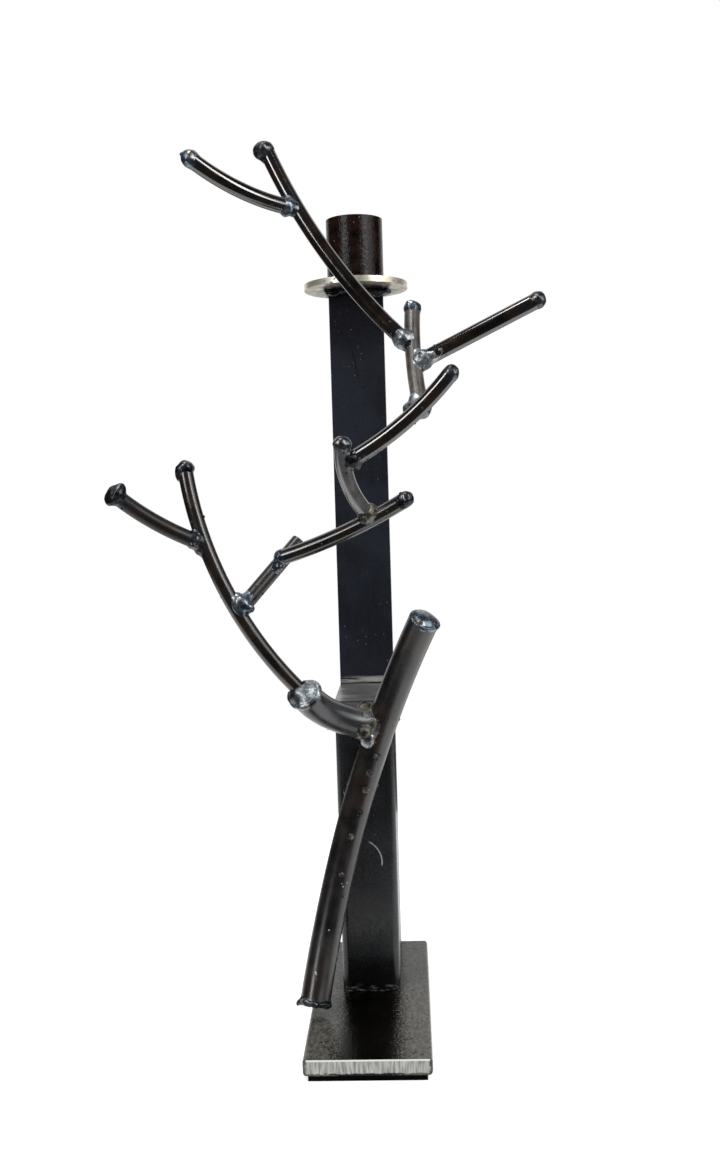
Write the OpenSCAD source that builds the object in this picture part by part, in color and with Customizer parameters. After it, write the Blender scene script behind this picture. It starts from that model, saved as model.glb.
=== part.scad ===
// Welded steel candlestick with a branch of bent rods on its front
// Millimetres. +Z up, the front faces -Y. The origin is the middle of the underside, on the table.

/* [Base] */
// Width of the base plate
base_w = 50.8; // [44:0.1:80]
// Length of the base plate, front to back
base_l = 127; // [110:0.5:180]
// Thickness of the base plate
base_t = 6.35; // [4:0.05:12]
// Radius of the rolled long edges of the base plate
base_edge_r = 1.4; // [0.4:0.1:1.8]
// Radius of the base plate's corners seen from above
base_corner_r = 1.6; // [0.4:0.1:4]
// Thickness of the pad under the base plate
pad_t = 3; // [1.5:0.1:6]
// Margin of bare plate round the pad
pad_inset = 2; // [0.5:0.1:6]

/* [Lower post] */
// Width of the lower post
post_w = 25.4; // [20:0.1:36]
// Depth of the lower post, front to back
post_depth = 50.8; // [40:0.1:56]
// Height of the lower post below its cap
post_h = 126.3; // [100:0.1:170]
// Wall of the lower post
post_wall = 2.1; // [1.5:0.1:3]
// Outside corner radius of the lower post
post_corner_r = 3.2; // [2.4:0.1:5]
// Thickness of the cap plate on the lower post
cap_t = 3; // [2:0.1:6]

/* [Tall bar] */
// Width of the tall flat bar behind the lower post
bar_w = 25.4; // [20:0.1:36]
// Thickness of the tall flat bar
bar_t = 9.5; // [6:0.1:14]
// Height of the tall flat bar above the base plate
bar_h = 314.9; // [240:0.1:380]
// Distance from the back of the bar to the back of the base plate
bar_set_in = 0.3; // [0:0.1:4]
// Length of each seam weld between the bar and the lower post
seam_len = 24; // [10:0.5:40]
// Distance from the ends of the lower post to the seam welds
seam_end_gap = 10; // [5:0.5:20]
// Diameter of the plug welds that hold the posts to the base plate
plug_d = 8; // [6:0.1:10]

/* [Candle cup] */
// Outside diameter of the drip washer
washer_d = 48.4; // [40:0.1:70]
// Thickness of the drip washer
washer_t = 2.7; // [1.5:0.1:4]
// Hole in the drip washer
washer_hole_d = 10.5; // [6:0.1:16]
// Outside diameter of the candle socket
socket_d = 26.4; // [25:0.1:36]
// Bore of the candle socket
socket_bore_d = 22.4; // [18:0.1:23]
// Length of the candle socket
socket_l = 29.6; // [20:0.1:45]

/* [Rod stock] */
// Diameter of the trunk rod and of the fork stub
trunk_d = 12.7; // [10:0.1:15]
// Diameter of the twig rods
twig_d = 6.35; // [5:0.05:8]
// Gap left for weld metal where two rods lie side by side
lap_gap = 0.3; // [0.1:0.05:0.8]
// Gap left for weld metal where a rod is cut to sit against another
fit_gap = 0.2; // [0.1:0.05:0.4]

/* [Welds] */
// How far the weld collars stand proud of a twig
collar_over = 1.5; // [0.8:0.1:2.5]
// How far the melted tips stand proud of a twig
tip_over = 0.75; // [0.4:0.05:1.5]
// How far the cap on the fork stub stands proud of it
cap_lip = 1.2; // [0.6:0.1:2]
// How far the cap on the trunk stands proud of it
trunk_cap_lip = 0.6; // [0.4:0.1:1.5]
// Height of the crown on the capped ends
cap_crown = 2.6; // [1.5:0.1:4]
// Leg of the weld under the drip washer
washer_weld_r = 2.3; // [1.2:0.1:3.5]
// Leg of the weld round the foot of the candle socket
socket_weld_r = 1.3; // [0.8:0.1:2]

/* [Trunk] */
// Drop from the top of the lower post to the weld that carries the trunk
trunk_seat_drop = 38; // [25:0.5:60]
// Sideways place of that weld
trunk_seat_x = -2; // [-6:0.5:6]
// Sideways place of the trunk's foot
trunk_foot_x = -23; // [-35:0.5:-5]
// How far the trunk's foot stands in front of its weld
trunk_foot_out = 20.5; // [10:0.5:30]
// Height of the trunk's foot above the base plate
trunk_foot_gap = 6; // [5:0.5:20]
// Sideways place of the trunk's top
trunk_top_x = 27; // [5:0.5:35]
// How far the trunk's top stands in front of its weld
trunk_top_out = 22.5; // [10:0.5:30]
// Rise of the trunk's top above its weld
trunk_top_rise = 75.5; // [55:0.5:110]

/* [Fork stub] */
// Where the stub leaves the trunk, from its foot to its top
stub_at = 0.695; // [0.64:0.005:0.8]
// Length of the stub, end to end
stub_len = 39.5; // [32:0.5:60]
// Clock angle of the stub seen from the front, from right towards up
stub_turn = 151.5; // [140:0.5:170]
// Lean of the stub towards the front
stub_lean = 28.5; // [20:0.5:40]
// Sideways bend of the stub
stub_bow = 4.5; // [2:0.1:6]
// Bend of the stub towards the front
stub_belly = -3.5; // [-5:0.1:-1]

/* [Left limb] */
// Where the left limb leaves the stub
left_limb_at = 0.68; // [0.6:0.005:0.72]
// Length of the left limb, end to end
left_limb_len = 114.5; // [90:0.5:145]
// Clock angle of the left limb
left_limb_turn = 117.5; // [105:0.5:130]
// Lean of the left limb towards the front
left_limb_lean = 3.5; // [-8:0.5:8]
// Sideways bend of the left limb
left_limb_bow = 9; // [4:0.1:12]
// Bend of the left limb towards the front
left_limb_belly = 8.5; // [4:0.1:10]

/* [Left twig] */
// Where the left twig leaves the left limb
left_twig_at = 0.73; // [0.6:0.005:0.85]
// Length of the left twig, end to end
left_twig_len = 41; // [25:0.5:60]
// Clock angle of the left twig
left_twig_turn = 147; // [140:0.5:170]
// Lean of the left twig towards the front
left_twig_lean = 24.5; // [10:0.5:35]
// Sideways bend of the left twig
left_twig_bow = 1.8; // [0.5:0.1:4]
// Bend of the left twig towards the front
left_twig_belly = -1.2; // [-4:0.1:-0.5]

/* [Inner rods] */
// Where the short inner rod leaves the left limb
inner_short_at = 0.47; // [0.35:0.005:0.55]
// Length of the short inner rod
inner_short_len = 40.5; // [35:0.5:60]
// Clock angle of the short inner rod
inner_short_turn = 49; // [40:0.5:60]
// Lean of the short inner rod towards the back
inner_short_back = 24; // [20:0.5:45]
// Where the long inner rod lies on the short one
inner_long_at = 0.785; // [0.6:0.005:0.85]
// Length of the long inner rod, end to end
inner_long_len = 56.5; // [45:0.5:80]
// Clock angle of the long inner rod
inner_long_turn = 23.5; // [12:0.5:32]
// Lean of the long inner rod towards the front
inner_long_lean = 15.5; // [5:0.5:25]
// Sideways bend of the long inner rod
inner_long_bow = -1.6; // [-4:0.1:-0.5]
// Bend of the long inner rod towards the front
inner_long_belly = -0.6; // [-3:0.1:-0.2]

/* [Curved twig] */
// Where the curved twig leaves the long inner rod
curved_twig_at = 0.73; // [0.6:0.005:0.8]
// Length of the curved twig, end to end
curved_twig_len = 35; // [30:0.5:50]
// Clock angle of the curved twig
curved_twig_turn = 110.5; // [95:0.5:125]
// Lean of the curved twig towards the front
curved_twig_lean = 30; // [15:0.5:40]
// Sideways bend of the curved twig
curved_twig_bow = 3.4; // [1:0.1:5]
// Bend of the curved twig towards the front
curved_twig_belly = 0.6; // [0:0.1:2]

/* [Upper rods] */
// Where the upper rod leaves the curved twig
upper_rod_at = 0.785; // [0.6:0.005:0.82]
// Length of the upper rod, end to end
upper_rod_len = 53.5; // [40:0.5:75]
// Clock angle of the upper rod
upper_rod_turn = 38; // [25:0.5:50]
// Lean of the upper rod towards the front
upper_rod_lean = 5.5; // [-5:0.5:15]
// Sideways bend of the upper rod
upper_rod_bow = -2.8; // [-5:0.1:-0.5]
// Where the upright twig lies behind the upper rod
upright_at = 0.695; // [0.5:0.005:0.75]
// Length of the upright twig, end to end
upright_len = 45.5; // [38:0.5:60]
// Clock angle of the upright twig
upright_turn = 93; // [85:0.5:105]
// Lean of the upright twig towards the back
upright_back = 26; // [15:0.5:35]
// Sideways bend of the upright twig
upright_bow = 1.2; // [0.4:0.1:3]
// Where the right twig leaves the upright twig
right_twig_at = 0.435; // [0.36:0.005:0.47]
// Length of the right twig
right_twig_len = 53; // [35:0.5:75]
// Clock angle of the right twig
right_twig_turn = 25; // [12:0.5:40]
// Lean of the right twig towards the front
right_twig_lean = 6; // [-5:0.5:20]

/* [Top rods] */
// Where the top rod leaves the upright twig
top_rod_at = 0.605; // [0.58:0.005:0.72]
// Length of the top rod, end to end
top_rod_len = 102; // [75:0.5:130]
// Clock angle of the top rod
top_rod_turn = 124.5; // [115:0.5:135]
// Lean of the top rod towards the back
top_rod_back = 8.5; // [0:0.5:15]
// Sideways bend of the top rod
top_rod_bow = 5; // [1:0.1:8]
// Bend of the top rod towards the back
top_rod_sag = 1.5; // [0.5:0.1:4]
// Where the top twig leaves the top rod
top_twig_at = 0.735; // [0.6:0.005:0.85]
// Length of the top twig, end to end
top_twig_len = 47; // [30:0.5:70]
// Clock angle of the top twig
top_twig_turn = 158.5; // [150:0.5:175]
// Lean of the top twig towards the front
top_twig_lean = 27; // [15:0.5:40]
// Sideways bend of the top twig
top_twig_bow = 3; // [1:0.1:5]
// Bend of the top twig towards the front
top_twig_belly = 1.5; // [0:0.1:3]

/* [Hidden] */
$fn = 96;

// Heights
base_top = pad_t + base_t;
post_top = base_top + post_h;
shelf_z = post_top + cap_t;
bar_top = base_top + bar_h;
washer_top = bar_top + washer_t;

// Places along Y
bar_back_y = base_l / 2 - bar_set_in;
bar_front_y = bar_back_y - bar_t;
bar_mid_y = (bar_front_y + bar_back_y) / 2;
post_front_y = bar_front_y - post_depth;
post_mid_y = (post_front_y + bar_front_y) / 2;

// Directions for a rod: along it, across it to the left of its travel, and across it to the front
function along(turn, lean) = [cos(turn) * cos(lean), -sin(lean), sin(turn) * cos(lean)];
function leftward(turn) = [-sin(turn), 0, cos(turn)];
function frontward(turn, lean) = [-cos(turn) * sin(lean), -cos(lean), -sin(turn) * sin(lean)];

// A rod is [start, middle, end, diameter] and bends in one arc through the three points
function rod(start, len, turn, lean, bow, belly, d) =
  let (end = start + len * along(turn, lean))
  [start, (start + end) / 2 + bow * leftward(turn) + belly * frontward(turn, lean), end, d];
function rod_r(r) = r[3] / 2;
function unit(v) = v / norm(v);
function is_straight(r) = norm(cross(r[1] - r[0], r[2] - r[0])) < 0.01;

// Arc of a bent rod: its centre, its two axes in the plane of the bend, and its angle
function arc_normal(r) = unit(cross(r[1] - r[0], r[2] - r[0]));
function arc_centre(r) =
  let (a = r[1] - r[0], b = r[2] - r[0], n = cross(a, b))
  r[0] + (cross(n, a) * (b * b) + cross(b, n) * (a * a)) / (2 * (n * n));
function arc_u(r) = unit(r[0] - arc_centre(r));
function arc_v(r) = cross(arc_normal(r), arc_u(r));
function arc_radius(r) = norm(r[0] - arc_centre(r));
function arc_angle(r) =
  let (w = r[2] - arc_centre(r), a = atan2(w * arc_v(r), w * arc_u(r)))
  a < 0 ? a + 360 : a;

function arc_share(r, p) =
  let (w = p - arc_centre(r), a = atan2(w * arc_v(r), w * arc_u(r)))
  (a < 0 ? a + 360 : a) / arc_angle(r);

// Point and direction on a rod, from 0 at its start to 1 at its end
function rod_point(r, t) = is_straight(r)
  ? r[0] + t * (r[2] - r[0])
  : let (a = t * arc_angle(r))
    arc_centre(r) + arc_radius(r) * (cos(a) * arc_u(r) + sin(a) * arc_v(r));
function rod_dir(r, t) = is_straight(r)
  ? unit(r[2] - r[0])
  : let (a = t * arc_angle(r)) cos(a) * arc_v(r) - sin(a) * arc_u(r);

// Two directions square to a third
function side_a(d) = unit(cross(d, abs(d[1]) < 0.9 ? [0, 1, 0] : [1, 0, 0]));
function side_b(d) = cross(d, side_a(d));

// The rods, each placed on the one that carries it
trunk_seat = [trunk_seat_x, post_front_y - trunk_d / 2 - lap_gap, shelf_z - trunk_seat_drop];
trunk_rod = [
  [trunk_foot_x, trunk_seat[1] - trunk_foot_out, base_top + trunk_foot_gap],
  trunk_seat,
  [trunk_top_x, trunk_seat[1] - trunk_top_out, trunk_seat[2] + trunk_top_rise],
  trunk_d
];
trunk_seat_at = arc_share(trunk_rod, trunk_seat);
stub_rod = rod(rod_point(trunk_rod, stub_at), stub_len, stub_turn, stub_lean, stub_bow, stub_belly, trunk_d);
left_limb_rod = rod(
  rod_point(stub_rod, left_limb_at),
  left_limb_len, left_limb_turn, left_limb_lean, left_limb_bow, left_limb_belly, twig_d
);
left_twig_rod = rod(
  rod_point(left_limb_rod, left_twig_at),
  left_twig_len, left_twig_turn, left_twig_lean, left_twig_bow, left_twig_belly, twig_d
);
short_rod = rod(
  rod_point(left_limb_rod, inner_short_at),
  inner_short_len, inner_short_turn, -inner_short_back, 0, 0, twig_d
);
lap_step = [0, twig_d + lap_gap, 0];
long_rod = rod(
  rod_point(short_rod, inner_long_at) - lap_step,
  inner_long_len, inner_long_turn, inner_long_lean, inner_long_bow, inner_long_belly, twig_d
);
curved_rod = rod(
  rod_point(long_rod, curved_twig_at),
  curved_twig_len, curved_twig_turn, curved_twig_lean, curved_twig_bow, curved_twig_belly, twig_d
);
high_rod = rod(
  rod_point(curved_rod, upper_rod_at),
  upper_rod_len, upper_rod_turn, upper_rod_lean, upper_rod_bow, 0, twig_d
);
upright_rod = rod(
  rod_point(high_rod, upright_at) + lap_step,
  upright_len, upright_turn, -upright_back, upright_bow, 0, twig_d
);
right_rod = rod(
  rod_point(upright_rod, right_twig_at),
  right_twig_len, right_twig_turn, right_twig_lean, 0, 0, twig_d
);
crown_rod = rod(
  rod_point(upright_rod, top_rod_at),
  top_rod_len, top_rod_turn, -top_rod_back, top_rod_bow, -top_rod_sag, twig_d
);
crown_twig_rod = rod(
  rod_point(crown_rod, top_twig_at),
  top_twig_len, top_twig_turn, top_twig_lean, top_twig_bow, top_twig_belly, twig_d
);

// Weld proportions
weld_lift = 0.8;
lump_sink = 0.5;
stub_collar_over = 2;
fat_collar_over = collar_over + 0.8;
seat_bead_r = 3.2;
seat_bead_x = 3.9;
seat_bead_slant = 0.7;
seat_bead_rise = seat_bead_r * 0.55;
seat_bead_stand = seat_bead_r / 3;
seam_bead_r = post_corner_r * 0.45;
seam_bead_inset = post_corner_r * 0.3;
limb_bead_ahead = 10;
limb_bead_depth = 3;
limb_bead_over = 0.3;
long_bead_ahead = -1.4;
long_bead_depth = 1.9;
upright_bead_ahead = -0.8;
upright_bead_depth = -0.8;
tip_step = 0.5;
foot_bead_r = 1.1;

// Outline of a bar or a tube with rounded corners, centred
module rounded_outline(w, l, r) {
  square([w - 2 * r, l], center = true);
  square([w, l - 2 * r], center = true);
  for (x = [-1, 1], y = [-1, 1])
    translate([x * (w / 2 - r), y * (l / 2 - r)]) circle(r);
}

// Children turned so that +Z points along a direction
module facing(place, d) {
  a = side_a(d);
  b = side_b(d);
  multmatrix([
    [a[0], b[0], d[0], place[0]],
    [a[1], b[1], d[1], place[1]],
    [a[2], b[2], d[2], place[2]],
    [0, 0, 0, 1]
  ]) children();
}

// Bare rod along its arc, or the room it takes with a gap round it
module rod_solid(r, gap = 0) {
  if (is_straight(r)) {
    facing(r[0], unit(r[2] - r[0])) cylinder(d = r[3] + 2 * gap, h = norm(r[2] - r[0]));
  } else {
    u = arc_u(r);
    v = arc_v(r);
    n = arc_normal(r);
    c = arc_centre(r);
    multmatrix([
      [u[0], v[0], n[0], c[0]],
      [u[1], v[1], n[1], c[1]],
      [u[2], v[2], n[2], c[2]],
      [0, 0, 0, 1]
    ]) rotate_extrude(angle = arc_angle(r)) translate([arc_radius(r), 0]) circle(d = r[3] + 2 * gap);
  }
}

// Short straight stretch of a rod about a point on it, to shape weld metal against
module rod_stretch(r, t) {
  back = 2 * r[3];
  ahead = min(2 * r[3], (1 - t) * norm(r[2] - r[0]));
  facing(rod_point(r, t) - back * rod_dir(r, t), rod_dir(r, t)) cylinder(d = r[3], h = back + ahead);
}

// Rod whose start is cut to sit against the rod that carries it
module fitted_rod(r, carrier) {
  difference() {
    rod_solid(r);
    rod_solid(carrier, fit_gap);
  }
}

// Lumps of weld metal on a ring round a direction, each [angle, distance along, radius]
module lumps(centre, d, ring_r, list) {
  for (l = list) {
    outward = cos(l[0]) * side_a(d) + sin(l[0]) * side_b(d);
    facing(centre + l[1] * d + ring_r * outward, outward) sphere(r = l[2]);
  }
}

// Collar of weld metal where a rod leaves the rod that carries it
module weld_collar(r, carrier, at, over, list) {
  d = rod_dir(r, 0);
  slope = norm(cross(d, rod_dir(carrier, at)));
  centre = r[0] + (rod_r(carrier) / slope + weld_lift) * d;
  difference() {
    difference() {
      union() {
        facing(centre, d) sphere(r = rod_r(r) + over);
        lumps(centre, d, rod_r(r) + over - lump_sink, list);
      }
      rod_solid(carrier);
    }
    rod_solid(r);
  }
}

// Bead of weld metal in front of or behind a rod, where it meets the rod that carries it
module lap_weld(r, carrier, ahead, depth, over, list) {
  d = rod_dir(r, 0);
  centre = r[0] + ahead * d + [0, depth, 0];
  difference() {
    difference() {
      union() {
        facing(centre, d) sphere(r = rod_r(r) + over);
        lumps(centre, d, rod_r(r), list);
      }
      rod_solid(carrier);
    }
    rod_solid(r);
  }
}

// Ball of metal melted over the end of a twig
module melted_tip(r, list) {
  d = rod_dir(r, 1);
  centre = r[2] + tip_step * d;
  difference() {
    union() {
      facing(centre, d) rotate([0, -90, 0]) sphere(r = rod_r(r) + tip_over);
      lumps(centre, d, rod_r(r) - lump_sink, list);
    }
    rod_solid(r);
  }
}

// Button of weld metal over the end of a thick rod
module weld_button(r, lip) {
  crown_r = (rod_r(r) * rod_r(r) + cap_crown * cap_crown) / (2 * cap_crown);
  difference() {
    facing(r[2], rod_dir(r, 1)) {
      rotate_extrude() translate([rod_r(r), 0]) circle(lip);
      intersection() {
        translate([0, 0, cap_crown - crown_r]) sphere(r = crown_r);
        cylinder(r = rod_r(r), h = cap_crown);
      }
    }
    rod_solid(r);
  }
}

module base_pad() {
  color([0.05, 0.05, 0.05])
    linear_extrude(pad_t) square([base_w - 2 * pad_inset, base_l - 2 * pad_inset], center = true);
}

// Places of the plug welds: under the front wall of the lower post, and under the bar's front face
plug_y = [post_front_y + plug_d / 2, bar_front_y];

module plugs() {
  for (y = plug_y) translate([0, y, pad_t]) cylinder(d = plug_d, h = base_t);
}

module base_plate() {
  color([0.2, 0.19, 0.18])
    difference() {
      intersection() {
        translate([0, base_l / 2, pad_t + base_t / 2])
          rotate([90, 0, 0]) linear_extrude(base_l) rounded_outline(base_w, base_t, base_edge_r);
        translate([0, 0, pad_t]) linear_extrude(base_t) rounded_outline(base_w, base_l, base_corner_r);
      }
      plugs();
    }
}

module plug_welds() {
  color([0.35, 0.35, 0.36]) plugs();
}

module lower_post() {
  color([0.08, 0.08, 0.09])
    translate([0, post_mid_y, base_top]) linear_extrude(post_h)
      difference() {
        rounded_outline(post_w, post_depth, post_corner_r);
        rounded_outline(post_w - 2 * post_wall, post_depth - 2 * post_wall, post_corner_r - post_wall);
      }
}

module post_cap() {
  color([0.55, 0.55, 0.55])
    translate([0, post_mid_y, post_top]) linear_extrude(cap_t)
      rounded_outline(post_w, post_depth, post_corner_r);
}

module tall_bar() {
  color([0.09, 0.1, 0.13])
    translate([-bar_w / 2, bar_front_y, base_top]) cube([bar_w, bar_t, bar_h]);
}

// Stitches of weld in the grooves between the lower post's back corners and the bar
module seam_welds() {
  groove_x = min(post_w, bar_w) / 2 - seam_bead_inset;
  color([0.15, 0.15, 0.17])
    difference() {
      for (x = [-1, 1], z = [base_top + seam_end_gap, post_top - seam_end_gap - seam_len])
        translate([x * groove_x, bar_front_y - seam_bead_inset, z])
          cylinder(r = seam_bead_r, h = seam_len);
      lower_post();
      tall_bar();
    }
}

module drip_washer() {
  color([0.75, 0.72, 0.64])
    translate([0, bar_mid_y, bar_top]) difference() {
      cylinder(d = washer_d, h = washer_t);
      translate([0, 0, -1]) cylinder(d = washer_hole_d, h = washer_t + 2);
    }
}

// Rope of weld round the top of the bar, under the washer
module washer_weld() {
  color([0.2, 0.22, 0.25])
    difference() {
      for (s = [-1, 1]) {
        translate([-bar_w / 2, bar_mid_y + s * bar_t / 2, bar_top])
          rotate([0, 90, 0]) cylinder(r = washer_weld_r, h = bar_w);
        translate([s * bar_w / 2, bar_front_y, bar_top])
          rotate([-90, 0, 0]) cylinder(r = washer_weld_r, h = bar_t);
        for (e = [-1, 1])
          translate([s * bar_w / 2, bar_mid_y + e * bar_t / 2, bar_top]) sphere(r = washer_weld_r);
      }
      translate([-bar_w / 2, bar_front_y, base_top]) cube([bar_w, bar_t, bar_h]);
      translate([0, bar_mid_y, bar_top]) cylinder(r = washer_d, h = washer_weld_r + 1);
    }
}

module candle_socket() {
  color([0.07, 0.06, 0.06])
    translate([0, bar_mid_y, washer_top]) difference() {
      cylinder(d = socket_d, h = socket_l);
      translate([0, 0, -1]) cylinder(d = socket_bore_d, h = socket_l + 2);
    }
}

module socket_weld() {
  color([0.2, 0.22, 0.25])
    translate([0, bar_mid_y, washer_top]) difference() {
      rotate_extrude() translate([socket_d / 2, 0]) circle(socket_weld_r);
      cylinder(d = socket_d, h = socket_weld_r + 1);
      translate([0, 0, -socket_weld_r - 1]) cylinder(d = washer_d, h = socket_weld_r + 1);
    }
}

module trunk() {
  color([0.1, 0.09, 0.08]) rod_solid(trunk_rod);
}

// Bead between the trunk and the front of the lower post
module trunk_weld() {
  color([0.2, 0.22, 0.25])
    difference() {
      difference() {
        for (side = [-1, 1], step = [-1, 1])
          translate([
            trunk_seat_x + side * seat_bead_x + step * seat_bead_slant,
            post_front_y - seat_bead_stand,
            trunk_seat[2] + step * seat_bead_rise
          ]) sphere(r = seat_bead_r);
        rod_stretch(trunk_rod, trunk_seat_at);
      }
      translate([-post_w, post_front_y, base_top]) cube([2 * post_w, post_depth, post_h]);
    }
}

module trunk_foot_bead() {
  d = rod_dir(trunk_rod, 0);
  color([0.16, 0.17, 0.19])
    difference() {
      facing(trunk_rod[0], d) rotate_extrude() translate([rod_r(trunk_rod), 0]) circle(foot_bead_r);
      rod_solid(trunk_rod);
    }
}

module trunk_top_cap() {
  color([0.25, 0.27, 0.3]) weld_button(trunk_rod, trunk_cap_lip);
}

module fork_stub() {
  color([0.13, 0.13, 0.13]) fitted_rod(stub_rod, trunk_rod);
}

module fork_stub_weld() {
  color([0.3, 0.33, 0.36])
    weld_collar(stub_rod, trunk_rod, stub_at, stub_collar_over, [[70, 0.5, 3.4], [190, 0, 3.6], [300, -0.5, 4.2]]);
}

module fork_stub_cap() {
  color([0.4, 0.43, 0.46])
    difference() {
      weld_button(stub_rod, cap_lip);
      rod_solid(left_limb_rod);
    }
}

module left_limb() {
  color([0.12, 0.1, 0.09]) fitted_rod(left_limb_rod, stub_rod);
}

module left_limb_weld() {
  color([0.2, 0.22, 0.25])
    lap_weld(left_limb_rod, stub_rod, limb_bead_ahead, limb_bead_depth, limb_bead_over, []);
}

module left_limb_tip() {
  color([0.18, 0.2, 0.22]) melted_tip(left_limb_rod, [[40, 0.6, 1.6], [200, 0.2, 1.8]]);
}

module left_twig() {
  color([0.12, 0.1, 0.09]) fitted_rod(left_twig_rod, left_limb_rod);
}

module left_twig_weld() {
  color([0.2, 0.22, 0.25])
    weld_collar(left_twig_rod, left_limb_rod, left_twig_at, collar_over, [[60, 0.4, 1.8], [210, 0.2, 2]]);
}

module left_twig_tip() {
  color([0.18, 0.2, 0.22]) melted_tip(left_twig_rod, [[70, 0.8, 2], [230, 0, 1.7]]);
}

module inner_short_rod() {
  color([0.12, 0.1, 0.09]) fitted_rod(short_rod, left_limb_rod);
}

module inner_short_rod_weld() {
  color([0.4, 0.43, 0.46])
    weld_collar(short_rod, left_limb_rod, inner_short_at, collar_over, [[20, 0.6, 2.4], [140, 0, 2.2], [250, 0.8, 2.3]]);
}

module inner_long_rod() {
  color([0.12, 0.1, 0.09]) fitted_rod(long_rod, short_rod);
}

module inner_long_rod_weld() {
  color([0.25, 0.29, 0.34])
    lap_weld(
      long_rod, short_rod, long_bead_ahead, long_bead_depth, collar_over, [[80, -0.6, 2.4], [265, 0.7, 2.2]]
    );
}

module inner_long_rod_tip() {
  color([0.3, 0.31, 0.32]) melted_tip(long_rod, [[100, 0.6, 1.7], [280, 0.3, 1.6]]);
}

module curved_twig() {
  color([0.3, 0.3, 0.29]) fitted_rod(curved_rod, long_rod);
}

module curved_twig_weld() {
  color([0.25, 0.29, 0.34])
    weld_collar(curved_rod, long_rod, curved_twig_at, collar_over, [[50, 0, 2.2], [170, 0.4, 1.9], [290, 0, 2.2]]);
}

module curved_twig_tip() {
  color([0.3, 0.31, 0.32]) melted_tip(curved_rod, [[30, 0.8, 1.7], [160, 0.3, 1.8]]);
}

module upper_rod() {
  color([0.12, 0.1, 0.09]) fitted_rod(high_rod, curved_rod);
}

module upper_rod_weld() {
  color([0.3, 0.31, 0.32])
    weld_collar(high_rod, curved_rod, upper_rod_at, collar_over, [[75, 0.5, 1.9], [200, 0.2, 2.1], [315, 0.3, 1.8]]);
}

module upper_rod_tip() {
  color([0.14, 0.16, 0.18]) melted_tip(high_rod, [[120, 0.5, 1.6], [300, 0.2, 1.7]]);
}

module upright_twig() {
  color([0.38, 0.34, 0.29]) fitted_rod(upright_rod, high_rod);
}

module upright_twig_weld() {
  color([0.4, 0.41, 0.42])
    lap_weld(upright_rod, high_rod, upright_bead_ahead, upright_bead_depth, collar_over, [[33, 0.4, 2.1]]);
}

module upright_twig_tip() {
  color([0.3, 0.31, 0.32]) melted_tip(upright_rod, [[60, 0.7, 1.7], [220, 0.2, 1.6]]);
}

module right_twig() {
  color([0.12, 0.1, 0.09]) fitted_rod(right_rod, upright_rod);
}

module right_twig_weld() {
  color([0.45, 0.47, 0.5])
    weld_collar(right_rod, upright_rod, right_twig_at, fat_collar_over, []);
}

module right_twig_tip() {
  color([0.16, 0.18, 0.2]) melted_tip(right_rod, [[75, 0.5, 1.7], [235, 0.2, 1.6]]);
}

module top_rod() {
  color([0.12, 0.1, 0.09]) fitted_rod(crown_rod, upright_rod);
}

module top_rod_weld() {
  color([0.45, 0.47, 0.5])
    weld_collar(crown_rod, upright_rod, top_rod_at, fat_collar_over, []);
}

module top_rod_tip() {
  color([0.16, 0.18, 0.2]) melted_tip(crown_rod, [[90, 0.6, 1.9], [270, 0, 1.6]]);
}

module top_twig() {
  color([0.12, 0.1, 0.09]) fitted_rod(crown_twig_rod, crown_rod);
}

module top_twig_weld() {
  color([0.25, 0.27, 0.3])
    weld_collar(crown_twig_rod, crown_rod, top_twig_at, collar_over, [[40, 0.4, 2], [200, 0.8, 1.8]]);
}

module top_twig_tip() {
  color([0.16, 0.18, 0.2]) melted_tip(crown_twig_rod, [[62, 0.9, 1.6], [200, 0.2, 1.8]]);
}

base_pad();
base_plate();
plug_welds();
lower_post();
post_cap();
tall_bar();
seam_welds();
drip_washer();
washer_weld();
candle_socket();
socket_weld();
trunk();
trunk_weld();
trunk_foot_bead();
trunk_top_cap();
fork_stub();
fork_stub_weld();
fork_stub_cap();
left_limb();
left_limb_weld();
left_limb_tip();
left_twig();
left_twig_weld();
left_twig_tip();
inner_short_rod();
inner_short_rod_weld();
inner_long_rod();
inner_long_rod_weld();
inner_long_rod_tip();
curved_twig();
curved_twig_weld();
curved_twig_tip();
upper_rod();
upper_rod_weld();
upper_rod_tip();
upright_twig();
upright_twig_weld();
upright_twig_tip();
right_twig();
right_twig_weld();
right_twig_tip();
top_rod();
top_rod_weld();
top_rod_tip();
top_twig();
top_twig_weld();
top_twig_tip();
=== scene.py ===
import math
import random

import bmesh
import bpy
from mathutils import Matrix, Vector, noise
from mathutils.bvhtree import BVHTree


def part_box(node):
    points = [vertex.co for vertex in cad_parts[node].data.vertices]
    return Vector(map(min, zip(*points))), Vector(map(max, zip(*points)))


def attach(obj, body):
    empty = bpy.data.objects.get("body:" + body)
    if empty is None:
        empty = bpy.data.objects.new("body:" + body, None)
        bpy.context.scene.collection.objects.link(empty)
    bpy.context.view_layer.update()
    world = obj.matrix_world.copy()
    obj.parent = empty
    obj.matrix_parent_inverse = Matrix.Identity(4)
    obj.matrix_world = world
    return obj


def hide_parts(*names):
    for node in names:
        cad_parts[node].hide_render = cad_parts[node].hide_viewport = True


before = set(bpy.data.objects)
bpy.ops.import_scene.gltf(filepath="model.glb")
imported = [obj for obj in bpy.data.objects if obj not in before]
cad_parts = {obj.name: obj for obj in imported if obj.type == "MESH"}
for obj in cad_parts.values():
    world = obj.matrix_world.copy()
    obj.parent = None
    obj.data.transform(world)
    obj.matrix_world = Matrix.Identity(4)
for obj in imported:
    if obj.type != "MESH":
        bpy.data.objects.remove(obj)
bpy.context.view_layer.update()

MM = 0.001

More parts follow.
